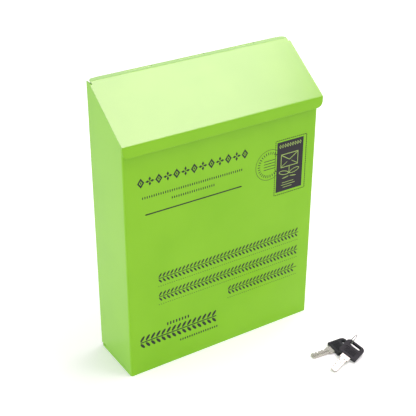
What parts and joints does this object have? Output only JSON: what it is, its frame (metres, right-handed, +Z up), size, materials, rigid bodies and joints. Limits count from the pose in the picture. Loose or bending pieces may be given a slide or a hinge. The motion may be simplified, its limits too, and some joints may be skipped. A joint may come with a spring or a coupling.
{
  "type": "post box",
  "caption": "Wall-hung steel post box with a sloping lift-up lid, a bottom door hinged at the rear with a cam lock, and its keys on a wire ring.",
  "frame": {"origin": "the middle of the box's underside, on the surface that it can stand on", "axes": "+X to the right seen from the front, +Y towards the wall that the box hangs on, +Z up"},
  "size_m": [0.2252, 0.1659, 0.294],
  "materials": {
    "painted_steel": "semi-gloss lime green powder coat",
    "zinc_wire": "bright zinc plate",
    "zinc_steel": "bright zinc plate",
    "lock_chrome": "polished chrome plate",
    "wafer_brass": "stamped brass",
    "key_nickel": "nickel plate",
    "key_plastic": "moulded black plastic",
    "ring_wire": "nickel-plated wire"
  },
  "bodies": {
    "housing": {"front_wrap": "painted_steel", "back_panel": "painted_steel", "lid_hinge_rod": "zinc_wire", "door_hinge_rod": "zinc_wire", "lock_strike": "painted_steel"},
    "lid": {"lid_panel": "painted_steel"},
    "door": {"door_panel": "painted_steel", "lock_body": "lock_chrome", "lock_nut_washer": "zinc_steel", "lock_nut": "zinc_steel"},
    "plug": {"lock_plug": "lock_chrome", "lock_wafers": "wafer_brass", "lock_cam": "zinc_steel", "cam_washer": "zinc_steel", "cam_nut": "zinc_steel"},
    "keys": {"key_1_blade": "key_nickel", "key_1_head": "key_plastic", "key_2_blade": "key_nickel", "key_2_head": "key_plastic", "key_ring": "ring_wire"}
  },
  "joints": [
    {"name": "lid_hinge", "type": "hinge", "parent": "housing", "child": "lid", "pos_m": [0, 0.02935, 0.29185], "axis": [-1, 0, 0], "range_deg": [0, 90]},
    {"name": "door_hinge", "type": "hinge", "parent": "housing", "child": "door", "pos_m": [0, 0.02935, 0.00215], "axis": [1, 0, 0], "range_deg": [0, 90]},
    {"name": "lock_turn", "type": "hinge", "parent": "door", "child": "plug", "pos_m": [0, -0.006, 0], "axis": [0, 0, -1], "range_deg": [0, 90]},
    {"name": "keys_lift", "type": "slide", "parent": "housing", "child": "keys", "axis": [0, 0, 1], "range_m": [0, 0.1]}
  ]
}
